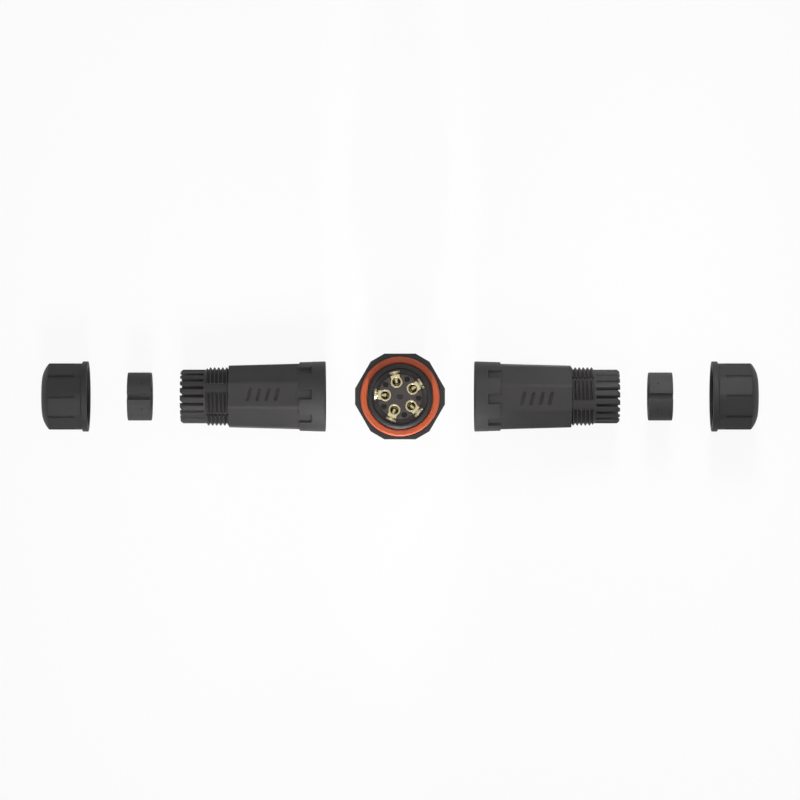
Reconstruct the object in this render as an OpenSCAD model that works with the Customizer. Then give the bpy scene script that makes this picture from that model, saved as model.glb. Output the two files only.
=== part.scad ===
// Inline power connector for five wires, taken apart and laid out in the order it goes together.
// From the middle outwards: terminal body stood on its end, sleeve, rubber seal, gland cap.
// Millimetres, +Z up, the floor at z = 0 and the terminal body on the Z axis. The right half lies
// along +X, and the left half is the right one turned half a turn about Z.

/* [Terminal body] */
// Diameter over the thread of the two collars that the sleeves screw onto
collar_d = 23.9; // [21:0.1:27]
// Height of a collar above its face of the flange
collar_h = 6; // [5:0.1:9]
// Wall of a collar under its thread
collar_wall = 0.85; // [0.6:0.05:1.4]
// Flange, across its six long sides
flange_width = 31.6; // [30.6:0.1:36]
// Flange, across its six cut corners
flange_corner_width = 33.1; // [32:0.1:36]
// Thickness of the flange
flange_thickness = 9; // [6:0.5:14]
// Thickness of the web that closes the middle of the housing
web_thickness = 4; // [2:0.5:6]

/* [Terminals] */
// Diameter of the circle that the five contacts stand on
pole_circle_d = 10.8; // [10:0.1:12]
// Direction of the first contact, anticlockwise from +X
first_pole_angle = 31.5; // [0:0.5:71.5]
// Outer diameter of a contact barrel
contact_d = 4.3; // [4:0.05:4.8]
// Width of the flat boss on a contact that its clamp screw goes through
boss_width = 3.4; // [3:0.1:3.7]
// Wire bore of a contact
wire_bore_d = 2.8; // [2.2:0.1:3]
// Depth of the wire bore from each end
wire_bore_depth = 12; // [8:0.5:14]
// Wider mouth that leads the wire in
lead_in_d = 3.2; // [3.15:0.05:3.6]
// Depth of that mouth
lead_in_depth = 2; // [1:0.1:3]
// Thread diameter of a clamp screw
screw_d = 2.5; // [2:0.1:2.8]
// Room between the tip of a driven-in clamp screw and the far wall of its wire bore
screw_tip_gap = 0.8; // [0.7:0.05:1.4]
// Head diameter of a clamp screw
screw_head_d = 4.3; // [3:0.1:4.6]
// Head height of a clamp screw
screw_head_h = 0.8; // [0.7:0.1:1.4]
// How far the heads stand off the carrier, as delivered
screw_stand_off = 0.5; // [0.4:0.1:1.2]
// Plastic of the carrier outside the contacts
carrier_wall = 0.5; // [0.4:0.05:0.7]
// How far the carrier stands out of a collar
carrier_reach = 7; // [6.6:0.1:12]
// Thickness of the disc that seats the carrier on the web
carrier_disc_h = 7.5; // [1:0.5:8]

/* [Gaskets] */
// Width of the ring
gasket_width = 2.65; // [1.5:0.05:2.9]
// Height of the ring
gasket_height = 2.2; // [1.6:0.1:2.6]
// Rounding of its section
gasket_round = 0.7; // [0.2:0.05:0.7]
// How much a tightened sleeve squeezes it
gasket_squeeze = 0.6; // [0.2:0.1:1]

/* [Sleeves] */
// Wall of the mouth outside its thread
mouth_wall = 0.9; // [0.7:0.05:1.8]
// Radius lost along the mouth's collar
mouth_draft = 0.25; // [0.1:0.05:0.4]
// Length of the mouth's collar
mouth_length = 9.7; // [8.5:0.1:14]
// Step from the collar down to the eight flats
mouth_step = 0.85; // [0.82:0.01:1.2]
// Length of the eight-sided body
body_length = 26.1; // [22:0.1:40]
// Wall of the body at its narrow end
body_wall = 1.25; // [1:0.05:2]
// How far the rounded edges stand over the flats
body_edge = 0.75; // [0.3:0.05:0.8]
// Step from the flats down to the gland thread
body_shoulder = 0.45; // [0.4:0.05:1.2]
// Width of the grip pockets round the mouth
pocket_width = 3.6; // [2:0.1:5]
// Length of the grip pockets
pocket_length = 5.6; // [4.6:0.1:8]
// Depth of the grip pockets in the collar
pocket_depth = 1; // [0.6:0.05:1.2]
// Length of the gland thread with its plain neck
thread_length = 9.1; // [7.5:0.1:14]
// Pitch of the gland thread
thread_pitch = 1.5; // [1:0.1:2]
// Height of the gland thread
thread_height = 0.8; // [0.5:0.05:0.9]
// Length of the clamping fingers
finger_length = 8.7; // [6:0.1:8.8]
// Wall of the clamping fingers
finger_wall = 0.95; // [0.7:0.05:1.5]
// Number of clamping fingers
finger_count = 20; // [12:1:24]
// Width of the slots between the fingers
finger_slot = 0.9; // [0.6:0.05:1.3]
// Lean of the slots from the radius
finger_lean = 45; // [0:1:50]
// Ledge that stops the seal inside
seat_ledge = 1.3; // [0.6:0.1:2]

/* [Seals] */
// Outer diameter of a seal
seal_d = 17.8; // [16:0.1:20]
// Length of a seal
seal_length = 8.85; // [8:0.05:14]
// Cable bore of a seal
seal_bore_d = 10; // [6:0.5:12]
// Width of the relief groove along a seal
seal_groove_width = 2.2; // [1:0.1:3]
// Depth of the relief groove
seal_groove_depth = 1.4; // [0.6:0.1:1.6]

/* [Caps] */
// Length of a cap
cap_length = 17.2; // [15:0.1:24]
// Wall of a cap at its flats
cap_wall = 1.35; // [1.1:0.05:2.5]
// How far the edges between the flats stand over them
cap_edge = 0.35; // [0.2:0.05:0.5]
// How far the rim stands over the flats
cap_rim_out = 0.75; // [0.55:0.05:2]
// Width of the rim
cap_rim_width = 2.1; // [1:0.1:4]
// Radius of the domed end
cap_dome_radius = 10; // [8.5:0.5:14]
// Thickness of the end wall round the cable hole
cap_end_wall = 1.8; // [1.2:0.1:3]
// Cable hole of a cap
cable_hole_d = 13.5; // [10:0.1:14]
// Depth of the cone that closes the fingers
cap_cone_depth = 2.2; // [1:0.1:3]
// Width of the grip grooves along a cap
cap_groove_width = 0.9; // [0.5:0.1:1.6]

/* [Layout] */
// Space between the flange and a sleeve
gap_to_sleeve = 10.95; // [2:0.05:30]
// Space between a sleeve and its seal
gap_to_seal = 10.7; // [2:0.1:30]
// Space between a seal and its cap
gap_to_cap = 14.6; // [4:0.1:40]

/* [Hidden] */
$fn = 96;
poles = 5;
flats = 8;
cap_flats = 10;
collar_ridges = 3;
// A piece on the long axis turns its own -X side up, which is this direction in its own frame.
up = 180;
// The flats, pockets and marks of a sleeve lie turned this far past that direction.
body_turn = 4;
// Stretches of the gland thread, in degrees past that direction. The same stretches come again half a
// turn further on. Narrow grooves part them, and a plain patch lies before the third one.
thread_stretches = [[-94, -41], [-36, 7], [28, 82]];
half_turn = 180;
// The slots between the fingers lie turned this far past that direction.
finger_turn = 3.5;
// Radial play in threads, of pieces pushed into each other, and of a screw in its tapped hole.
thread_play = 0.15;
push_play = 0.05;
seal_play = 0.1;
tapped_play = 0.05;
// Play of a boss in its slot of the carrier, and of a collar's end in a sleeve's mouth.
slot_play = 0.2;
mouth_play = 0.2;
// Excess of every cutting solid past the face that it cuts.
over = 1;
// Edge breaks: sleeve mouth, finger tips, seal ends and screw tips.
mouth_break = 0.7;
tip_break = 0.75;
tip_break_length = 0.9;
seal_break = 0.3;
screw_break = 0.25;
// Thread form: share of the pitch at the foot and at the crest.
foot_share = 0.86;
crest_share = 0.22;
// The gland thread starts this far from the shoulder, and leaves this much plain neck.
thread_start = 0.1;
thread_relief = 1.2;
// Slot of a screw head, and how much further each next screw is turned in its hole.
screw_slot = 0.7;
screw_slot_depth = 0.45;
screw_turn = 25;
// Marks pressed into the upper flat of a sleeve: four leaning ticks, with no letters.
marks = 4;
mark_start = 8.1;
mark_spacing = 3.4;
mark_length = 4.6;
mark_width = 0.8;
mark_depth = 0.5;
mark_lean = -15;
// Recesses in the carrier's ends, between the contacts and in the middle.
recess_d = 2;
recess_depth = 1.6;
// Thin walls left between neighbouring cuts, and brass of a boss past its screw.
boss_web = 0.55;
pocket_web = 0.55;
lead_in_web = 0.15;
contact_recess = 0.1;
seal_room = 0.3;
cap_groove_depth = 0.4;
cap_groove_gap = 2.8;
cavity_cone = 2.5;
// Angle of the dome's arc where it breaks into the side of a cap.
dome_angle = 45;

// Terminal body, worked out from the sizes above.
collar_r = collar_d / 2;
collar_root_r = collar_r - thread_height;
collar_bore_r = collar_root_r - collar_wall;
pole_r = pole_circle_d / 2;
contact_r = contact_d / 2;
carrier_r = pole_r + contact_r + push_play + carrier_wall;
carrier_length = flange_thickness + 2 * collar_h + 2 * carrier_reach;
middle_z = carrier_length / 2;
screw_below_end = lead_in_depth + contact_recess + lead_in_web + screw_d / 2;
screw_head_r = carrier_r + screw_stand_off;
screw_length = screw_head_r - pole_r + wire_bore_d / 2 - screw_tip_gap;
boss_end = carrier_r - pole_r - push_play;
boss_height = screw_below_end - contact_recess + screw_d / 2 + boss_web;
gasket_r = collar_r + push_play;

// Sleeve, from its mouth at 0 to its finger tips.
mouth_bore_r = collar_r + thread_play;
mouth_r = mouth_bore_r + mouth_wall;
mouth_back_r = mouth_r - mouth_draft;
mouth_depth = collar_h - (gasket_height - gasket_squeeze) + mouth_play;
pocket_start = mouth_depth + pocket_web;
seat_r = seal_d / 2 + seal_play;
finger_r = seat_r + finger_wall;
crest_r = finger_r + thread_height;
body_front = mouth_back_r - mouth_step;
body_back = crest_r + body_shoulder;
body_taper = atan((body_front - body_back) / body_length);
cavity_r = body_back - body_wall;
passage_r = seat_r - seat_ledge;
thread_z = mouth_length + body_length;
finger_z = thread_z + thread_length;
sleeve_length = finger_z + finger_length;
seat_z = sleeve_length - seal_length - seal_room;

// Cap, from its rim at 0 to its closed end.
cap_bore_r = crest_r + thread_play;
cap_flat_r = cap_bore_r + cap_wall;
cap_edge_r = cap_flat_r + cap_edge;
cap_rim_r = cap_flat_r + cap_rim_out;
cap_inner_end = cap_length - cap_end_wall;
cap_dome_start = cap_edge_r - cap_dome_radius * sin(dome_angle);

// Places along the X axis, and the height of that axis over the floor.
axis_z = max(mouth_r, cap_rim_r);
sleeve_x = flange_corner_width / 2 + gap_to_sleeve;
seal_x = sleeve_x + sleeve_length + gap_to_seal;
cap_x = seal_x + seal_length + gap_to_cap;

// Points of a row of thread ridges on a cylinder of radius r, the first one centred at z.
function ridge_points(r, z, count) = [
    for (i = [0 : count - 1])
        each let (middle = z + i * thread_pitch,
                  foot = foot_share * thread_pitch / 2,
                  crest = crest_share * thread_pitch / 2)
            [[r, middle - foot], [r + thread_height, middle - crest],
             [r + thread_height, middle + crest], [r, middle + foot]]];

// Puts a piece that was made along +Z on the long axis, its start at distance x from the middle.
module on_axis(side, x) {
    rotate([0, 0, side == "right" ? 0 : 180])
        translate([x, 0, axis_z])
            rotate([0, 90, 0])
                children();
}

// Repeats what is made at the upper end of the terminal body at its lower end.
module at_both_ends() {
    for (end = [0, 1])
        at_end(end)
            children();
}

module at_end(end) {
    translate([0, 0, middle_z])
        mirror([0, 0, end])
            translate([0, 0, -middle_z])
                children();
}

// Turns +X to point from the middle of the terminal body through one of its contacts.
module at_pole(number) {
    rotate([0, 0, first_pole_angle + (number - 1) * 360 / poles])
        children();
}

// Hexagonal prism about Z with a pair of its sides across Y.
module hexagon(width, height) {
    cylinder(d = width / cos(30), h = height, $fn = 6);
}

// Threaded collar of the housing, up from the flange's face.
module housing_collar() {
    lowest = collar_h - thread_pitch / 2 - (collar_ridges - 1) * thread_pitch;
    rotate_extrude()
        polygon(concat(
            [[0, -over], [collar_root_r, -over]],
            ridge_points(collar_root_r, lowest, collar_ridges),
            [[collar_root_r, collar_h], [0, collar_h]]));
}

// One moulding: hexagonal flange, two threaded collars and the web between them.
module centre_housing() {
    flange_z = middle_z - flange_thickness / 2;
    color([0.18, 0.18, 0.19])
        difference() {
            union() {
                translate([0, 0, flange_z])
                    intersection() {
                        hexagon(flange_width, flange_thickness);
                        rotate([0, 0, 30])
                            hexagon(flange_corner_width, flange_thickness);
                    }
                at_both_ends()
                    translate([0, 0, middle_z + flange_thickness / 2])
                        housing_collar();
            }
            at_both_ends()
                translate([0, 0, middle_z + web_thickness / 2])
                    cylinder(r = collar_bore_r, h = carrier_length);
            cylinder(r = carrier_r + push_play, h = carrier_length);
        }
}

// Slot at the upper end that holds the boss of one contact and lets its clamp screw in from the side.
module screw_slot_cut() {
    slot_width = boss_width + 2 * slot_play;
    slot_depth = contact_recess + boss_height + slot_play;
    translate([pole_r, -slot_width / 2, carrier_length - slot_depth])
        cube([carrier_r, slot_width, slot_depth + over]);
}

// Insulating block that holds the contacts: it stands on its lower end and seats by its disc.
module terminal_carrier() {
    recess_r = carrier_r - recess_d / 2 - carrier_wall / 2;
    color([0.2, 0.18, 0.18])
        difference() {
            union() {
                cylinder(r = carrier_r, h = carrier_length);
                translate([0, 0, middle_z + web_thickness / 2])
                    cylinder(r = collar_bore_r - push_play, h = carrier_disc_h);
            }
            for (number = [1 : poles])
                at_pole(number) {
                    translate([pole_r, 0, -over])
                        cylinder(r = contact_r + push_play, h = carrier_length + 2 * over);
                    at_both_ends()
                        screw_slot_cut();
                    at_both_ends()
                        rotate([0, 0, 180 / poles])
                            translate([recess_r, 0, carrier_length - recess_depth])
                                cylinder(d = recess_d, h = recess_depth + over);
                }
            at_both_ends()
                translate([0, 0, carrier_length - recess_depth / 2])
                    cylinder(d = recess_d, h = recess_depth);
        }
}

// Sealing ring on one face of the flange, end 0 being the upper one.
module gasket(end) {
    inner = gasket_width - 2 * gasket_round;
    color([0.78, 0.34, 0.19])
        at_end(end)
            translate([0, 0, middle_z + flange_thickness / 2])
                rotate_extrude()
                    translate([gasket_r, 0])
                        union() {
                            translate([gasket_round, 0])
                                square([inner, gasket_height]);
                            translate([0, gasket_round])
                                square([gasket_width, gasket_height - 2 * gasket_round]);
                            for (across = [gasket_round, gasket_width - gasket_round])
                                for (height = [gasket_round, gasket_height - gasket_round])
                                    translate([across, height])
                                        circle(gasket_round);
                        }
}

// Brass barrel with a blind wire bore at each end, and a flat boss there with a tapped hole.
module contact(number) {
    color([0.8, 0.66, 0.36])
        at_pole(number)
            translate([pole_r, 0, 0])
                difference() {
                    union() {
                        translate([0, 0, contact_recess])
                            cylinder(r = contact_r, h = carrier_length - 2 * contact_recess);
                        at_both_ends()
                            translate([0, -boss_width / 2, carrier_length - contact_recess - boss_height])
                                cube([boss_end, boss_width, boss_height]);
                    }
                    at_both_ends() {
                        translate([0, 0, carrier_length - contact_recess - wire_bore_depth])
                            cylinder(d = wire_bore_d, h = wire_bore_depth + over);
                        translate([0, 0, carrier_length - contact_recess - lead_in_depth])
                            cylinder(d = lead_in_d, h = lead_in_depth + over);
                        translate([0, 0, carrier_length - screw_below_end])
                            rotate([0, 90, 0])
                                cylinder(r = screw_d / 2 + tapped_play, h = contact_d);
                    }
                }
}

// Slotted clamp screw of one contact, pointing inwards, end 0 being the upper one.
module clamp_screw(number, end) {
    color([0.82, 0.7, 0.42])
        at_end(end)
            at_pole(number)
                translate([screw_head_r, 0, carrier_length - screw_below_end])
                    rotate([screw_turn * number, 0, 0])
                        difference() {
                            rotate([0, 90, 0]) {
                                cylinder(d = screw_head_d, h = screw_head_h);
                                translate([0, 0, screw_break - screw_length])
                                    cylinder(d = screw_d, h = screw_length - screw_break);
                                translate([0, 0, -screw_length])
                                    cylinder(r1 = screw_d / 2 - screw_break, r2 = screw_d / 2,
                                             h = screw_break);
                            }
                            translate([screw_head_h - screw_slot_depth, -screw_slot / 2, -screw_head_d])
                                cube([screw_head_h, screw_slot, 2 * screw_head_d]);
                        }
}

// Frame of one flat of a sleeve: its plane is x = 0, and z runs along it from the mouth's collar.
module on_flat(number) {
    rotate([0, 0, body_turn + number * 360 / flats])
        translate([body_front, 0, mouth_length])
            rotate([0, -body_taper, 0])
                children();
}

// Eight-sided tapered body with rounded edges.
module sleeve_body() {
    difference() {
        translate([0, 0, mouth_length])
            cylinder(r1 = body_front + body_edge, r2 = body_back + body_edge, h = body_length);
        for (number = [1 : flats])
            on_flat(number)
                translate([0, -body_front, -over])
                    cube([body_front, 2 * body_front, body_length + 2 * over]);
    }
}

// Interrupted gland thread: it winds right-handed, each stretch's ridges a little further on.
module gland_thread() {
    foot = foot_share * thread_pitch / 2;
    root_r = (passage_r + finger_r) / 2;
    for (half = [0, half_turn])
        for (stretch = thread_stretches) {
            turned = half + stretch[0] - thread_stretches[0][0];
            first = thread_start + turned / 360 * thread_pitch;
            ridges = 1 + floor((thread_length - thread_relief - first) / thread_pitch);
            last = first + (ridges - 1) * thread_pitch;
            rotate([0, 0, up + half + stretch[0]])
                rotate_extrude(angle = stretch[1] - stretch[0])
                    translate([0, thread_z])
                        polygon(concat(
                            [[root_r, first - foot]],
                            ridge_points(finger_r, first, ridges),
                            [[root_r, last + foot]]));
        }
}

// Everything that is bored out of a sleeve, mouth first.
module sleeve_bore() {
    cone_z = thread_z - cavity_cone;
    rotate_extrude()
        polygon([
            [0, -over], [mouth_bore_r, -over], [mouth_bore_r, mouth_depth], [cavity_r, mouth_depth],
            [cavity_r, cone_z], [passage_r, thread_z], [passage_r, seat_z], [seat_r, seat_z],
            [seat_r, sleeve_length + over], [0, sleeve_length + over]]);
}

// Leaning slots that part the clamping fingers.
module finger_slots() {
    reach = finger_slot + 2 * finger_wall / cos(finger_lean);
    for (number = [1 : finger_count])
        rotate([0, 0, finger_turn + number * 360 / finger_count])
            translate([seat_r + finger_wall / 2, 0, finger_z])
                rotate([0, 0, -finger_lean])
                    translate([-reach / 2, -finger_slot / 2, 0])
                        cube([reach, finger_slot, finger_length + over]);
}

// Grip pockets round the mouth, one over each flat.
module mouth_pockets() {
    for (number = [1 : flats])
        rotate([0, 0, body_turn + number * 360 / flats])
            translate([mouth_back_r - pocket_depth, -pocket_width / 2, pocket_start])
                cube([mouth_r, pocket_width, pocket_length]);
}

// Leaning ticks on the flat that lies uppermost.
module sleeve_marks() {
    for (number = [0 : marks - 1])
        on_flat(up * flats / 360)
            translate([-mark_depth, 0, mark_start + number * mark_spacing])
                rotate([mark_lean, 0, 0])
                    translate([0, -mark_length / 2, -mark_width / 2])
                        cube([over, mark_length, mark_width]);
}

// One moulding: threaded mouth, eight-sided body, gland thread and clamping fingers.
module sleeve(side) {
    color([0.27, 0.26, 0.27])
        on_axis(side, sleeve_x)
            difference() {
                union() {
                    rotate_extrude()
                        polygon([
                            [0, 0], [mouth_r - mouth_break, 0], [mouth_r, mouth_break],
                            [mouth_back_r, mouth_length], [0, mouth_length]]);
                    sleeve_body();
                    gland_thread();
                    rotate_extrude()
                        polygon([
                            [0, thread_z], [finger_r, thread_z],
                            [finger_r, sleeve_length - tip_break_length],
                            [finger_r - tip_break, sleeve_length], [0, sleeve_length]]);
                }
                sleeve_bore();
                finger_slots();
                mouth_pockets();
                sleeve_marks();
            }
}

// Rubber bush that the fingers press onto the cable, with a relief groove along its upper side.
module seal(side) {
    outer = seal_d / 2;
    bore = seal_bore_d / 2;
    color([0.3, 0.3, 0.3])
        on_axis(side, seal_x)
            difference() {
                rotate_extrude()
                    polygon([
                        [bore, 0], [outer - seal_break, 0], [outer, seal_break],
                        [outer, seal_length - seal_break], [outer - seal_break, seal_length],
                        [bore, seal_length]]);
                translate([-outer - over, -seal_groove_width / 2, -over])
                    cube([over + seal_groove_depth, seal_groove_width, seal_length + 2 * over]);
            }
}

// Outer form of a cap before its flats are cut: rim, body and domed end.
module cap_blank() {
    rotate_extrude() {
        square([cap_rim_r, cap_rim_width]);
        intersection() {
            square([cap_edge_r, cap_length]);
            union() {
                square([cap_dome_start, cap_length]);
                translate([cap_dome_start, cap_length - cap_dome_radius])
                    circle(cap_dome_radius);
                square([cap_edge_r, cap_length - cap_dome_radius]);
            }
        }
    }
}

// One moulding: cup with a rim, ten flats, grip grooves between them and a cable hole.
module cap(side) {
    flat_length = cap_length - cap_rim_width + over;
    groove_z = cap_rim_width + cap_groove_gap;
    color([0.25, 0.25, 0.26])
        on_axis(side, cap_x)
            difference() {
                cap_blank();
                for (number = [1 : cap_flats])
                    rotate([0, 0, number * 360 / cap_flats]) {
                        rotate([0, 0, 180 / cap_flats])
                            translate([cap_flat_r, -cap_flat_r / 2, cap_rim_width])
                                cube([cap_flat_r, cap_flat_r, flat_length]);
                        translate([cap_edge_r - cap_groove_depth, -cap_groove_width / 2, groove_z])
                            cube([cap_flat_r, cap_groove_width, cap_length]);
                    }
                rotate_extrude()
                    polygon([
                        [0, -over], [cap_bore_r, -over], [cap_bore_r, cap_inner_end - cap_cone_depth],
                        [cap_bore_r - cap_cone_depth, cap_inner_end], [0, cap_inner_end]]);
                cylinder(d = cable_hole_d, h = cap_length + over);
            }
}

centre_housing();
terminal_carrier();
gasket(0);  // upper_gasket
gasket(1);  // lower_gasket
for (number = [1 : poles]) {
    contact(number);
    clamp_screw(number, 0);
    clamp_screw(number, 1);
}
for (side = ["left", "right"]) {
    sleeve(side);
    seal(side);
    cap(side);
}
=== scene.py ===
import math

import bmesh
import bpy
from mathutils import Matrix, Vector


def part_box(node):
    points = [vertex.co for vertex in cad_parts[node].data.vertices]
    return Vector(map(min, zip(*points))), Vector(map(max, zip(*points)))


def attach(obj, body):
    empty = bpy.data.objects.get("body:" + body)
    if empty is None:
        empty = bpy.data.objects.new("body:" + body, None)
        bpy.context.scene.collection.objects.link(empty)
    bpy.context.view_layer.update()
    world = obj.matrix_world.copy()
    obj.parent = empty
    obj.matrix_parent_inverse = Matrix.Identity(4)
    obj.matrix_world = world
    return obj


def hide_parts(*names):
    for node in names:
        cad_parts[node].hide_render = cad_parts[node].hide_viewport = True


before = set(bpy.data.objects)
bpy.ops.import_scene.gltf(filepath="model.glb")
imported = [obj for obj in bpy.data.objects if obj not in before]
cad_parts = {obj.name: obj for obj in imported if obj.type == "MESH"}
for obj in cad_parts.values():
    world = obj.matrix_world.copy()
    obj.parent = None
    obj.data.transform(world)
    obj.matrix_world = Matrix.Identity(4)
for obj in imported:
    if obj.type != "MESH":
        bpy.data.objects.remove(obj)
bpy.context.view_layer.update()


# Centre housing: hexagonal flange with a threaded collar on each face, moulded as one piece in
# glass-filled black nylon. It stands on the carrier's end, and the gaskets lie on its flange.
def linear(code):
    """Linear colour of an sRGB hex value."""
    parts = [int(code[i:i + 2], 16) / 255 for i in (1, 3, 5)]
    return [p / 12.92 if p <= 0.04045 else ((p + 0.055) / 1.055) ** 2.4 for p in parts] + [1.0]


def add(tree, kind, settings=None, links=None):
    """A node of this kind, with values for its sockets or properties and links into its sockets."""
    made = tree.nodes.new(kind)
    for key, value in (settings or {}).items():
        if isinstance(key, int) or key in made.inputs:
            made.inputs[key].default_value = value
        else:
            setattr(made, key, value)
    for key, source in (links or {}).items():
        tree.links.new(source, made.inputs[key])
    return made


def new_material(name, settings):
    """A named material, its node tree, and its main shader with these values set on its sockets."""
    material = bpy.data.materials.new(name)
    material.use_nodes = True
    shader = material.node_tree.nodes["Principled BSDF"]
    for socket, value in settings.items():
        shader.inputs[socket].default_value = value
    return material, material.node_tree, shader


# Sockets of a node that mixes two colours, and the span that a noise pattern fills.
FIRST_COLOUR, SECOND_COLOUR, MIXED = 6, 7, 2
NOISE_LOW, NOISE_HIGH = 0.3, 0.7


def moulded(name, dark, light, rough, ior, painted_shade_reach=0.001):
    """Skin that a spark-eroded mould leaves on plastic or rubber. The eye sees it evenly matte, with a tone
    that clouds over 9 mm and edges round by 0.25 mm. Painted shade darkens inner corners and recesses within
    reach of an ambient occlusion pass. Its grain of 0.4 mm is finer on the real one and is drawn coarse
    enough to show."""
    cloud_size, grain_size, grain_depth, edge_round = 0.009, 0.0004, 0.00004, 0.00025
    painted_shade_share, painted_shade_full_at, painted_shade_none_at, gloss_change = 0.25, 0.3, 0.9, 0.06
    material, tree, shader = new_material(name, {"IOR": ior, "Specular IOR Level": 0.3})
    place = add(tree, "ShaderNodeTexCoord").outputs["Object"]
    cloud = add(tree, "ShaderNodeTexNoise", {"Scale": 1 / cloud_size, "Detail": 4.0, "Roughness": 0.6},
                {"Vector": place})
    grain = add(tree, "ShaderNodeTexNoise", {"Scale": 1 / grain_size, "Detail": 2.0}, {"Vector": place})
    tone = add(tree, "ShaderNodeMix",
               {"data_type": "RGBA", FIRST_COLOUR: linear(dark), SECOND_COLOUR: linear(light)},
               {"Factor": cloud.outputs["Fac"]})
    # Painted shade: where ambient occlusion finds walls close by, the colour darkens towards a quarter of the
    # dark tone. This stands in for the shade that falls in corners, grooves and recesses.
    painted_corner_shade = add(tree, "ShaderNodeAmbientOcclusion",
                  {"samples": 6, "only_local": True, "Distance": painted_shade_reach})
    unshaded_share = add(tree, "ShaderNodeMapRange", {"From Min": painted_shade_full_at, "From Max": painted_shade_none_at},
                 {"Value": painted_corner_shade.outputs["AO"]})
    painted_shade_colour = [painted_shade_share * part for part in linear(dark)[:3]] + [1.0]
    shade = add(tree, "ShaderNodeMix", {"data_type": "RGBA", FIRST_COLOUR: painted_shade_colour},
                {"Factor": unshaded_share.outputs["Result"], SECOND_COLOUR: tone.outputs[MIXED]})
    gloss = add(tree, "ShaderNodeMapRange",
                {"From Min": NOISE_LOW, "From Max": NOISE_HIGH,
                 "To Min": rough - gloss_change, "To Max": rough + gloss_change},
                {"Value": grain.outputs["Fac"]})
    edges = add(tree, "ShaderNodeBevel", {"samples": 6, "Radius": edge_round})
    bump = add(tree, "ShaderNodeBump", {"Strength": 0.25, "Distance": grain_depth},
               {"Height": grain.outputs["Fac"], "Normal": edges.outputs["Normal"]})
    tree.links.new(shade.outputs[MIXED], shader.inputs["Base Color"])
    tree.links.new(gloss.outputs["Result"], shader.inputs["Roughness"])
    tree.links.new(bump.outputs["Normal"], shader.inputs["Normal"])
    return material


def dress(name, material):
    """The CAD node keeps its form and takes this finish all over."""
    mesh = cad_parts[name].data
    mesh.materials.clear()
    mesh.materials.append(material)


NYLON_IOR = 1.53
dress("centre_housing", moulded("moulded_nylon_housing", "#171617", "#1f1e1f", 0.55, NYLON_IOR))

# Terminal carrier: insulating block pushed through the housing's web, which holds the contacts.
# Moulded in a browner black nylon. Its painted shade reaches further, so that the small recesses between the
# contacts are painted dark inside.
dress("terminal_carrier",
      moulded("moulded_nylon_carrier", "#2c2524", "#37302e", 0.5, NYLON_IOR, painted_shade_reach=0.002))

# Gaskets: rings that lie on the flange round each collar, where the sleeves press them flat.
# Moulded in orange silicone, softer to look at than the nylon and with a satin shine.
SILICONE_IOR = 1.41
gasket_silicone = moulded("moulded_silicone", "#ae4b2c", "#be5f3d", 0.42, SILICONE_IOR)
for name in ("upper_gasket", "lower_gasket"):
    dress(name, gasket_silicone)


# Contacts: brass barrels pushed into the carrier, with a wire bore and a flat boss at each end.
# They are turned from bar, and the bosses are milled flat for the clamp screws.
def turned_brass(name, pale, deep, rough, edge_round):
    """Turned and tumbled brass. The eye sees a bright, pale yellow that clouds over 1.5 mm, rounded edges
    that catch the light, and tool marks of 0.25 mm, coarser than the real ones so that they show."""
    cloud_size, mark_size, mark_depth, gloss_change = 0.0015, 0.00025, 0.00003, 0.08
    material, tree, shader = new_material(name, {"Metallic": 1.0})
    place = add(tree, "ShaderNodeTexCoord").outputs["Object"]
    cloud = add(tree, "ShaderNodeTexNoise", {"Scale": 1 / cloud_size, "Detail": 3.0}, {"Vector": place})
    marks = add(tree, "ShaderNodeTexNoise", {"Scale": 1 / mark_size, "Detail": 2.0}, {"Vector": place})
    tone = add(tree, "ShaderNodeMix",
               {"data_type": "RGBA", FIRST_COLOUR: linear(pale), SECOND_COLOUR: linear(deep)},
               {"Factor": cloud.outputs["Fac"]})
    gloss = add(tree, "ShaderNodeMapRange",
                {"From Min": NOISE_LOW, "From Max": NOISE_HIGH,
                 "To Min": rough - gloss_change, "To Max": rough + gloss_change},
                {"Value": marks.outputs["Fac"]})
    edges = add(tree, "ShaderNodeBevel", {"samples": 6, "Radius": edge_round})
    bump = add(tree, "ShaderNodeBump", {"Strength": 0.2, "Distance": mark_depth},
               {"Height": marks.outputs["Fac"], "Normal": edges.outputs["Normal"]})
    tree.links.new(tone.outputs[MIXED], shader.inputs["Base Color"])
    tree.links.new(gloss.outputs["Result"], shader.inputs["Roughness"])
    tree.links.new(bump.outputs["Normal"], shader.inputs["Normal"])
    return material


POLES = range(1, 6)
contact_brass = turned_brass("turned_brass_contact", "#a39b80", "#928a65", 0.3, edge_round=0.00035)
for number in POLES:
    dress(f"contact_{number}", contact_brass)

# Clamp screws: one through each boss, with a wide thin head and a slot for the driver.
# Turned from a slightly redder brass, and driven in until the tip shows in the wire bore.
screw_brass = turned_brass("turned_brass_screw", "#a59d85", "#96886a", 0.3, edge_round=0.00015)
for number in POLES:
    for end in ("upper", "lower"):
        dress(f"{end}_screw_{number}", screw_brass)

# Sleeves: one moulding each, with a threaded mouth, a tapered eight-sided body, an interrupted gland
# thread and twenty clamping fingers. Black glass-filled nylon, matte from a spark-eroded mould and
# unscrewed from its core, so that all its edges are slightly round.
low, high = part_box("right_sleeve")
AXIS, SLEEVE_X, SLEEVE_LENGTH = [1000 * size for size in ((low.z + high.z) / 2, low.x, high.x - low.x)]

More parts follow.
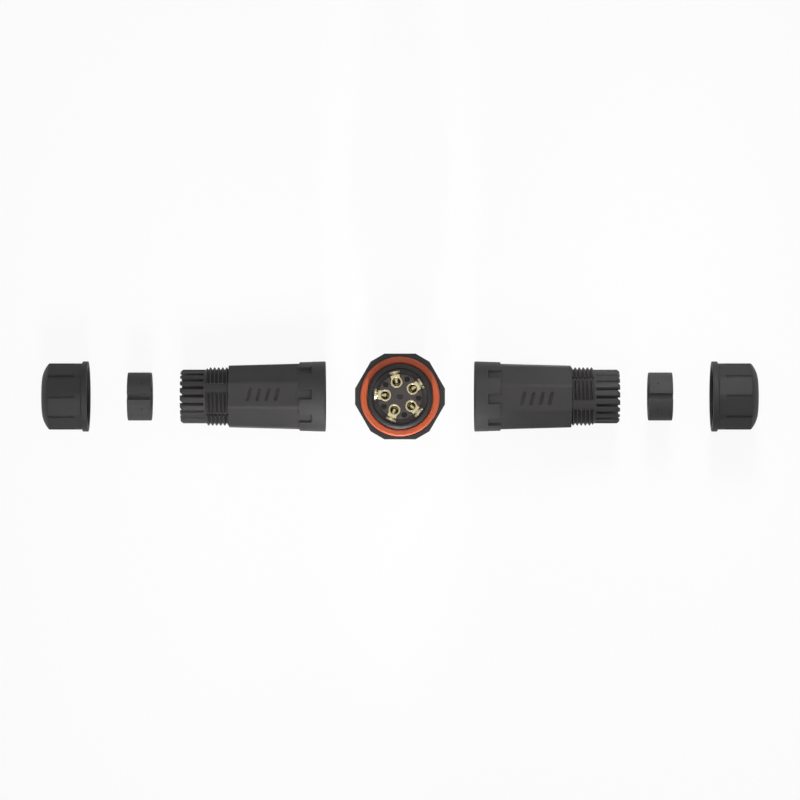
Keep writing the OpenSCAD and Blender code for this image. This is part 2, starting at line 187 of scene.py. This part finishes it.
# Sizes are in millimetres, along the sleeve from its mouth. Its upper side is its own -X side.
UP = math.pi
HALF_FLAT = math.pi / 8
MOUTH_R, MOUTH_BACK_R, MOUTH_LENGTH, MOUTH_ROUND = 13.0, 12.75, 9.7, 0.8
MOUTH_BORE_R, MOUTH_DEPTH, MOUTH_THREAD_HEIGHT = 12.1, 4.6, 0.75
BODY_FRONT, BODY_BACK, BODY_EDGE, BODY_TURN = 11.9, 11.2, 0.75, math.radians(4)
POCKET_HALF, POCKET_FLOOR, POCKET_FROM, POCKET_TO = 1.8, 11.75, 5.15, 10.75
MARKS, MARK_FROM, MARK_STEP, MARK_LEAN = 4, 17.8, 3.4, math.radians(-15)
MARK_HALF_LENGTH, MARK_HALF_WIDTH, MARK_DEPTH = 2.3, 0.4, 0.5
THREAD_Z, THREAD_END, THREAD_HEIGHT, PITCH = 35.8, 44.3, 0.8, 1.5
STRETCHES = ((-94, -41), (-36, 7), (28, 82))
CAVITY_R, CONE_Z, PASSAGE_R, SEAT_R, SEAT_Z = 9.95, 33.3, 7.7, 9.0, 44.45
FINGERS, FINGER_Z, FINGER_R, FINGER_TURN = 20, 44.9, 9.95, math.radians(3.5)
SLOT_HALF, SLOT_LEAN = 0.45, math.radians(-45)
FINGER_TIP = ((1.0, 0), (0.8, 0.08), (0.2, 0.58), (0, 0.8))
STEP_SOFT, MARK_SOFT, EDGE_SHARPNESS, ROW = 0.12, 0.1, 20, 0.12
LIP_ROUND, SHOULDER_ROUND, CONE_ROUND = 0.2, 0.25, 0.5


def on_row(side, start):
    """Places a point of a piece made along +Z, in millimetres, on the row's axis, in metres."""
    turn = 1 if side == "right" else -1

    def place(x, y, z):
        return (turn * (start + z) / 1000, turn * y / 1000, (AXIS - x) / 1000)
    return place


def smooth_step(lower, upper, value):
    """From 0 at lower to 1 at upper, level at both ends."""
    t = min(max((value - lower) / (upper - lower), 0), 1)
    return t * t * (3 - 2 * t)


def window(lower, upper, soft, value):
    """1 between lower and upper, 0 outside, softened at both ends."""
    past_upper = smooth_step(upper - soft, upper + soft, value)
    return smooth_step(lower - soft, lower + soft, value) * (1 - past_upper)


def soft_min(a, b, sharpness):
    """The smaller of two radii, with a rounded edge where they meet."""
    return -math.log(math.exp(-sharpness * a) + math.exp(-sharpness * b)) / sharpness


def rounded(painted_corner_shade):
    """Closed outline through corners (r, z, radius), each rounded by four steps where a radius is given."""
    points, most = [], 0.45
    for i, (r, z, radius) in enumerate(painted_corner_shade):
        here = Vector((r, z))
        if not radius:
            points.append(here)
            continue
        before = Vector(painted_corner_shade[i - 1][:2]) - here
        after = Vector(painted_corner_shade[(i + 1) % len(painted_corner_shade)][:2]) - here
        reach = min(radius, most * before.length, most * after.length)
        a, b = here + before.normalized() * reach, here + after.normalized() * reach
        for s in (0, 0.25, 0.5, 0.75, 1):
            points.append(a * (1 - s) ** 2 + here * 2 * s * (1 - s) + b * s ** 2)
    return points


def turned(angles, section):
    """Points and faces of a closed skin round Z. section gives the outline at an angle."""
    outlines = [section(angle) for angle in angles]
    rows, columns = len(outlines[0]), len(angles)
    points = [(r * math.cos(a), r * math.sin(a), z) for a, line in zip(angles, outlines) for r, z in line]
    faces = [(i * rows + k, (i + 1) % columns * rows + k, (i + 1) % columns * rows + (k + 1) % rows,
              i * rows + (k + 1) % rows) for i in range(columns) for k in range(rows)]
    return points, faces


def skin(name, points, faces, material):
    """An object of this form and finish, smooth but for its sharp edges."""
    sharp_from = math.radians(40)
    mesh = bpy.data.meshes.new(name)
    mesh.from_pydata(points, [], faces)
    form = bmesh.new()
    form.from_mesh(mesh)
    bmesh.ops.recalc_face_normals(form, faces=form.faces)
    form.to_mesh(mesh)
    form.free()
    mesh.shade_smooth()
    mesh.set_sharp_from_angle(angle=sharp_from)
    mesh.materials.append(material)
    piece = bpy.data.objects.new(name, mesh)
    bpy.context.scene.collection.objects.link(piece)
    evened = piece.modifiers.new("flat faces stay flat", "WEIGHTED_NORMAL")
    evened.keep_sharp = True
    return piece


def column_angles(*groups):
    """Angles in rising order from groups of degrees, each well apart from the next."""
    kept, closest = [], 0.2
    for angle in sorted(a % 360 for group in groups for a in group):
        if not kept or angle - kept[-1] > closest:
            kept.append(angle)
    return [math.radians(a) for a in kept]


def body_radius(angle, z):
    """Collar with its grip pockets, then the flats with their rounded edges and leaning ticks."""
    past = (angle - UP - BODY_TURN + math.pi) % (2 * math.pi) - math.pi
    off = (past + HALF_FLAT) % (2 * HALF_FLAT) - HALF_FLAT
    collar = MOUTH_R - (MOUTH_R - MOUTH_BACK_R) * z / MOUTH_LENGTH
    flat = BODY_FRONT - (BODY_FRONT - BODY_BACK) * (z - MOUTH_LENGTH) / (THREAD_Z - MOUTH_LENGTH)
    body = soft_min(flat / math.cos(off), flat + BODY_EDGE, EDGE_SHARPNESS)
    stepped = smooth_step(MOUTH_LENGTH - STEP_SOFT, MOUTH_LENGTH + STEP_SOFT, z)
    r = collar * (1 - stepped) + body * stepped
    pocket = (window(-POCKET_HALF, POCKET_HALF, STEP_SOFT, r * math.sin(off))
              * window(POCKET_FROM, POCKET_TO, STEP_SOFT, z))
    r -= pocket * max(0, r - POCKET_FLOOR / math.cos(off))
    across = r * math.sin(past)
    along = z - MARK_FROM - across * math.tan(MARK_LEAN)
    nearest = min(max(round(along / MARK_STEP), 0), MARKS - 1)
    if abs(past) < HALF_FLAT:
        line = (along - MARK_STEP * nearest) * math.cos(MARK_LEAN)
        reach = across / math.cos(MARK_LEAN)
        r -= (MARK_DEPTH * window(-MARK_HALF_WIDTH, MARK_HALF_WIDTH, MARK_SOFT, line)
              * window(-MARK_HALF_LENGTH, MARK_HALF_LENGTH, MARK_SOFT, reach))
    return r


def ridge(turns, z):
    """Height of a right-handed thread, from 0 at its foot to 1 on its crest, as shares of the pitch."""
    half_foot, half_crest = 0.43, 0.11
    from_crest = abs((z / PITCH - turns + 0.5) % 1 - 0.5)
    return min(max((half_foot - from_crest) / (half_foot - half_crest), 0), 1)


def gland_radius(angle, z):
    """Gland thread, cut into stretches by narrow grooves and a plain patch on each half."""
    first, before_first, end_soft, run_out = STRETCHES[0][0], 3, 0.5, 0.7
    degrees = math.degrees(angle - UP) - first
    past = (degrees + before_first) % 180 - before_first + first
    present = sum(window(start, end, end_soft, past) for start, end in STRETCHES)
    crest = ridge(degrees / 360, z - THREAD_Z) * (1 - smooth_step(THREAD_END - run_out, THREAD_END, z))
    return FINGER_R + THREAD_HEIGHT * present * crest


def mouth_radius(angle, z):
    """Thread inside the mouth, for a collar of the terminal body."""
    run_in = 0.4
    return MOUTH_BORE_R - (MOUTH_THREAD_HEIGHT * ridge(angle / (2 * math.pi), z)
                           * window(3 * run_in, MOUTH_DEPTH - 1.5 * run_in, run_in, z))


def rows_at(edge):
    """Rows close together across a softened step."""
    return [edge + STEP_SOFT * share for share in (-1.25, -0.5, 0, 0.5, 1.25)]


mark_rows = [MARK_FROM + MARK_STEP * k + ROW * s for k in range(MARKS) for s in range(-10, 11)]
body_rows = [1.3, 2, 3.6, *rows_at(POCKET_FROM), 6.5, 8, 9.3, *rows_at(MOUTH_LENGTH), 10.3,
             *rows_at(POCKET_TO), 12, 14, 16, *mark_rows, 31, 33.5, 35.2]
thread_rows = [THREAD_Z + ROW * s for s in range(1, 72)]
mouth_rows = [MOUTH_DEPTH - 0.1 - ROW * s for s in range(33)]


def sleeve_section(angle):
    """Outline of a sleeve at an angle: outside from the mouth, then back along the bores."""
    outside = [(MOUTH_BORE_R, 0, LIP_ROUND), (MOUTH_R, 0, MOUTH_ROUND)]
    outside += [(body_radius(angle, z), z, 0) for z in body_rows]
    outside += [(body_radius(angle, THREAD_Z), THREAD_Z, SHOULDER_ROUND),
                (gland_radius(angle, THREAD_Z), THREAD_Z, 0)]
    outside += [(gland_radius(angle, z), z, 0) for z in thread_rows]
    inside = [(FINGER_R, FINGER_Z, 0), (SEAT_R, FINGER_Z, 0), (SEAT_R, SEAT_Z, 0),
              (PASSAGE_R, SEAT_Z, LIP_ROUND), (PASSAGE_R, THREAD_Z, CONE_ROUND),
              (CAVITY_R, CONE_Z, CONE_ROUND), (CAVITY_R, MOUTH_DEPTH, LIP_ROUND),
              (MOUTH_BORE_R, MOUTH_DEPTH, 0)]
    inside += [(mouth_radius(angle, z), z, 0) for z in mouth_rows]
    return rounded(outside + inside)


def slot_edge(number, side, r):
    """Direction at which one edge of a leaning slot crosses the radius r."""
    lean = Vector((math.cos(SLOT_LEAN), math.sin(SLOT_LEAN)))
    foot = Vector(((SEAT_R + FINGER_R) / 2, 0)) + side * SLOT_HALF * Vector((-lean.y, lean.x))
    along = foot.dot(lean)
    met = foot + lean * (math.sqrt(along ** 2 - foot.length_squared + r ** 2) - along)
    return math.atan2(met.y, met.x) + FINGER_TURN + number * 2 * math.pi / FINGERS


def finger_bars(first):
    """Points and faces of the fingers, which taper at their tips and start inside the neck."""
    sunk, straight = 0.2, 1.1
    rings = [(FINGER_Z - sunk, FINGER_R), (FINGER_Z + straight, FINGER_R)]
    rings += [(SLEEVE_LENGTH - before, FINGER_R - less) for before, less in FINGER_TIP]
    inner_shares, outer_shares = (0, 0.5, 1), (1, 0.75, 0.5, 0.25, 0)
    ring = len(inner_shares) + len(outer_shares)
    points, faces = [], []
    for number in range(FINGERS):
        start = first + len(points)
        for z, r in rings:
            for radius, shares in ((SEAT_R, inner_shares), (r, outer_shares)):
                a, b = slot_edge(number, 1, radius), slot_edge(number + 1, -1, radius)
                points += [(radius * math.cos(a + (b - a) * s), radius * math.sin(a + (b - a) * s), z)
                           for s in shares]
        for k in range(start, start + ring * (len(rings) - 1), ring):
            faces += [(k + i, k + (i + 1) % ring, k + ring + (i + 1) % ring, k + ring + i)
                      for i in range(ring)]
        tip = start + ring * (len(rings) - 1)
        faces += [tuple(range(start + ring - 1, start - 1, -1)), tuple(range(tip, tip + ring))]
    return points, faces


# Columns stand close together at the walls of the pockets, on the rounded edges, across the ticks
# and at the ends of the thread's stretches.
flat_columns = (3, 6, 7.5, 7.8, 8.1, 8.4, 8.8, 12, 16, 18.6, 19.6, 20.2, 21, 22.4)
sleeve_angles = column_angles(
    range(0, 360, 5),
    [4 + 45 * flat + way * column for flat in range(8) for way in (-1, 1) for column in flat_columns],
    [184 + 1.1 * k for k in range(-12, 13)],
    [180 + half + edge + s for half in (0, 180) for stretch in STRETCHES for edge in stretch
     for s in (-0.5, 0, 0.5)])
sleeve_nylon = moulded("moulded_nylon_sleeve", "#2d2b2c", "#373536", 0.6, NYLON_IOR)
for side in ("left", "right"):
    place = on_row(side, SLEEVE_X)
    points, faces = turned(sleeve_angles, sleeve_section)
    bars = finger_bars(len(points))
    sleeve = skin(f"{side}_sleeve_skin", [place(*p) for p in points + bars[0]], faces + bars[1], sleeve_nylon)
    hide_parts(f"{side}_sleeve")
    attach(sleeve, "centre")

# Seals: bushes that the fingers press onto the cable. Moulded in dark grey rubber, duller than the
# nylon, with rolled edges, a relief groove along the upper side and two ejector dimples beside it.
low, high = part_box("right_seal")
SEAL_X, SEAL_LENGTH = 1000 * low.x, 1000 * (high.x - low.x)
SEAL_R, SEAL_BORE_R, SEAL_END, SEAL_ROUND, SEAL_BORE_ROUND = 8.9, 5.0, 0.9, 0.5, 0.35
GROOVE_FLOOR_R, GROOVE_EDGE, GROOVE_SOFT = 7.5, math.radians(7.1), 0.013
DIMPLE_AT, DIMPLE_Z, DIMPLE_R, DIMPLE_DEPTH = math.radians(32), 3.3, 0.45, 0.35
RUBBER_IOR = 1.52


def seal_radius(angle, z):
    """Outside of a seal, with its groove and dimples."""
    off = abs((angle - UP + math.pi) % (2 * math.pi) - math.pi)
    wall = smooth_step(GROOVE_EDGE - GROOVE_SOFT, GROOVE_EDGE + GROOVE_SOFT, off)
    floor_r = GROOVE_FLOOR_R / math.cos(min(off, 2 * GROOVE_EDGE))
    away = math.hypot((off - DIMPLE_AT) * SEAL_R, z - DIMPLE_Z)
    return floor_r * (1 - wall) + SEAL_R * wall - DIMPLE_DEPTH * (1 - smooth_step(0.1, DIMPLE_R, away))


def seal_section(angle):
    """Outline of a seal at an angle, from its bore round the start, the outside and the far end."""
    far, end_r = SEAL_LENGTH - SEAL_END, seal_radius(angle, 0)
    dimple_rows = [DIMPLE_Z + s for s in (-0.6, -0.35, -0.2, 0, 0.2, 0.35, 0.6)]
    start = rounded([(SEAL_BORE_R, SEAL_LENGTH, SEAL_BORE_ROUND), (SEAL_BORE_R, 0, SEAL_BORE_ROUND),
                     (end_r, 0, SEAL_ROUND), (end_r, SEAL_END, 0)])[:-1]
    outside = [Vector((seal_radius(angle, z), z)) for z in (SEAL_END, 2.0, *dimple_rows, 4.6, 6.2, far)]
    end = rounded([(end_r, far, 0), (end_r, SEAL_LENGTH, SEAL_ROUND), (SEAL_BORE_R, SEAL_LENGTH, 0)])[1:-1]
    return start + outside + end


groove_columns = (5.8, 6.2, 6.5, 6.8, 7.1, 7.4, 7.7, 8.1, 9)
dimple_columns = (29, 29.8, 30.6, 31.3, 32, 32.7, 33.4, 34.2, 35)
seal_angles = column_angles(
    range(0, 360, 5),
    [180 + way * column for way in (-1, 1) for column in groove_columns + dimple_columns])
seal_rubber = moulded("moulded_rubber", "#3a3a3b", "#434344", 0.75, RUBBER_IOR)
for side in ("left", "right"):
    place = on_row(side, SEAL_X)
    points, faces = turned(seal_angles, seal_section)
    seal = skin(f"{side}_seal_skin", [place(*p) for p in points], faces, seal_rubber)
    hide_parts(f"{side}_seal")
    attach(seal, f"{side}_seal")

# Caps: gland caps with a rim, ten flats, grip grooves on the edges between them and a domed end.
# Moulded in black nylon with the gland thread inside, and unscrewed from its core.
low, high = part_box("right_cap")
CAP_X, CAP_LENGTH = 1000 * low.x, 1000 * (high.x - low.x)
CAP_FLATS, CAP_FLAT_R, CAP_EDGE_R, CAP_EDGE_SHARPNESS = 10, 12.25, 12.6, 14
CAP_RIM_R, RIM_WIDTH, CAP_BORE_R, CAP_THREAD_DEPTH = 13.0, 2.1, 10.9, 0.55
GRIP_START, GRIP_HALF, GRIP_SOFT, GRIP_DEPTH = 4.9, math.radians(2.08), 0.004, 0.4
CAP_INNER_END, CABLE_HOLE_R, CONE_DEPTH = 15.4, 6.75, 2.2
CAP_THREAD_FROM, CAP_THREAD_TO, CAP_THREAD_STEPS, CAP_THREAD_HALF = 0.6, 12.6, 71, 0.42
GRIP_RUN, GRIP_END = (-0.15, 0.1), 9.0
MOUTH_BREAK, MOUTH_LIP, MOUTH_EDGE, RIM_EDGE, RIM_FOOT = 0.3, 0.1, 0.2, 0.55, 0.35
DOME_EDGE, HOLE_EDGE, INNER_EDGE = 0.7, 0.3, 0.2
DOME_R, DOME_STEPS = 10.0, 8
dome_foot_r = CAP_EDGE_R - DOME_R * math.sin(math.radians(45))
dome_foot_z = CAP_LENGTH - DOME_R
cap_thread_row = (CAP_THREAD_TO - CAP_THREAD_FROM) / CAP_THREAD_STEPS
cap_thread_rows = [CAP_THREAD_TO - cap_thread_row * step for step in range(CAP_THREAD_STEPS + 1)]


def cap_thread_radius(angle, z):
    """Thread inside a cap, which runs out at the rim and before the cone that closes the fingers."""
    run_in, run_out, plain = 1.0, 0.9, 0.1
    last = CAP_THREAD_TO - plain
    turns = (z / PITCH - angle / (2 * math.pi)) % 1
    ends = (smooth_step(CAP_THREAD_FROM, CAP_THREAD_FROM + run_in, z)
            * (1 - smooth_step(last - run_out, last, z)))
    return CAP_BORE_R + CAP_THREAD_DEPTH * ends * max(0, 1 - abs(turns - 0.5) / CAP_THREAD_HALF)


def cap_section(angle):
    """Outline of a cap at an angle: rim, side with its grip groove, dome, cable hole and inside."""
    period = 2 * math.pi / CAP_FLATS
    off = abs((angle + period / 2) % period - period / 2)
    side_r = soft_min(CAP_FLAT_R / math.cos(period / 2 - off), CAP_EDGE_R, CAP_EDGE_SHARPNESS)
    grip_r = side_r - GRIP_DEPTH * (1 - smooth_step(GRIP_HALF - GRIP_SOFT, GRIP_HALF + GRIP_SOFT, off))
    corner = math.acos((grip_r - dome_foot_r) / DOME_R)
    top = math.acos((CABLE_HOLE_R - dome_foot_r) / DOME_R)
    arc = [corner + (top - corner) * s / DOME_STEPS for s in range(DOME_STEPS + 1)]
    dome = [(dome_foot_r + DOME_R * math.cos(a), dome_foot_z + DOME_R * math.sin(a)) for a in arc]
    outside = [(CAP_BORE_R + MOUTH_BREAK, 0, MOUTH_LIP), (CAP_RIM_R, 0, MOUTH_EDGE),
               (CAP_RIM_R, RIM_WIDTH, RIM_EDGE), (side_r, RIM_WIDTH, RIM_FOOT),
               (side_r, GRIP_START + GRIP_RUN[0], 0), (grip_r, GRIP_START + GRIP_RUN[1], 0),
               (grip_r, GRIP_END, 0), (*dome[0], DOME_EDGE)]
    outside += [(r, z, 0) for r, z in dome[1:-1]]
    end = [(*dome[-1], HOLE_EDGE), (CABLE_HOLE_R, CAP_INNER_END, INNER_EDGE),
           (CAP_BORE_R - CONE_DEPTH, CAP_INNER_END, INNER_EDGE),
           (CAP_BORE_R, CAP_INNER_END - CONE_DEPTH, INNER_EDGE)]
    inside = [(cap_thread_radius(angle, z), z, 0) for z in cap_thread_rows]
    return rounded(outside + end + inside)


# Columns over one flat, from one grip groove to the next.
grip_columns = (-2.8, -2.4, -2.2, -2.0, -1.8, -0.9, 0.9, 1.8, 2.0, 2.2, 2.4, 2.8)
side_columns = (4, 4.8, 5.8, 8, 11, 14.5, 18, 21.5, 25, 28, 30.2, 31.2, 32)
cap_angles = [math.radians(360 / CAP_FLATS * flat + column) for flat in range(CAP_FLATS)
              for column in grip_columns + side_columns]
# The cap's painted shade reaches 20 mm, so that the inside of its bore is painted dark where shade falls.
cap_nylon = moulded("moulded_nylon_cap", "#222223", "#2a2a2c", 0.62, NYLON_IOR, painted_shade_reach=0.02)
for side in ("left", "right"):
    place = on_row(side, CAP_X)
    points, faces = turned(cap_angles, cap_section)
    cap = skin(f"{side}_cap_skin", [place(*p) for p in points], faces, cap_nylon)
    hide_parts(f"{side}_cap")
    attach(cap, f"{side}_cap")


# Floor and light: a white table in an even white room, under a wide soft box. Small soft boxes rake
# the left half of the row and the terminal body from the front, and the right half from the back.
def seen_directly(tree):
    """1 where the eye or a reflection meets the white itself, 0 where it only sheds light."""
    rays = add(tree, "ShaderNodeLightPath").outputs
    return add(tree, "ShaderNodeMath", {"operation": "MAXIMUM"},
               {0: rays["Is Camera Ray"], 1: rays["Is Glossy Ray"]}).outputs[0]


WHITE = [1, 1, 1, 1]
WHITE_SHARE, ROOM_LIGHT = 0.92, 0.24
bpy.ops.mesh.primitive_plane_add(size=8.0)
floor = bpy.context.object
floor.name = "floor"
paper, tree, shader = new_material("white_table", {"Base Color": linear("#f2f2f2"), "Roughness": 0.9})
share = add(tree, "ShaderNodeMath", {"operation": "MULTIPLY", 1: WHITE_SHARE}, {0: seen_directly(tree)})
white = add(tree, "ShaderNodeEmission", {"Color": WHITE, "Strength": 1.0})
mix = add(tree, "ShaderNodeMixShader", {}, {0: share.outputs[0], 1: shader.outputs[0], 2: white.outputs[0]})
tree.links.new(mix.outputs[0], tree.nodes["Material Output"].inputs["Surface"])
floor.data.materials.append(paper)

world = bpy.data.worlds.new("studio")
bpy.context.scene.world = world
world.use_nodes = True
tree = world.node_tree
room = tree.nodes["Background"]
room.inputs["Color"].default_value = WHITE
strength = add(tree, "ShaderNodeMapRange", {"To Min": ROOM_LIGHT, "To Max": 1.0},
               {"Value": seen_directly(tree)})
tree.links.new(strength.outputs["Result"], room.inputs["Strength"])


def soft_box(name, size, energy, spread, where, target):
    """Rectangular lamp that points from one place to another."""
    light = bpy.data.lights.new(name, "AREA")
    light.shape = "RECTANGLE"
    light.size, light.size_y = size
    light.energy = energy
    light.spread = math.radians(spread)
    lamp = bpy.data.objects.new(name, light)
    bpy.context.scene.collection.objects.link(lamp)
    lamp.location = where
    lamp.rotation_euler = (Vector(target) - Vector(where)).to_track_quat("-Z", "Y").to_euler()


soft_box("top_box", (2.0, 2.0), 13.0, 180, (0, 0, 2.1), (0, 0, 0))
soft_box("left_box", (0.14, 0.20), 0.07, 24, (-0.06, -0.41, 0.40), (-0.06, 0, 0.01))
soft_box("right_box", (0.10, 0.20), 0.062, 24, (0.105, 0.41, 0.40), (0.105, 0, 0.01))
soft_box("front_box", (0.03, 0.06), 0.016, 8, (0, -0.5, 0.13), (0, 0, 0.02))

# Camera: straight above, far off, so that the open ends of caps and sleeves just show.
camera = bpy.data.cameras.new("camera")
camera.sensor_width = 36
camera.lens = 222.2
eye = bpy.data.objects.new("camera", camera)
bpy.context.scene.collection.objects.link(eye)
eye.location = (0, -0.0013, 1.84)
bpy.context.scene.camera = eye
bpy.context.scene.view_settings.view_transform = "Standard"
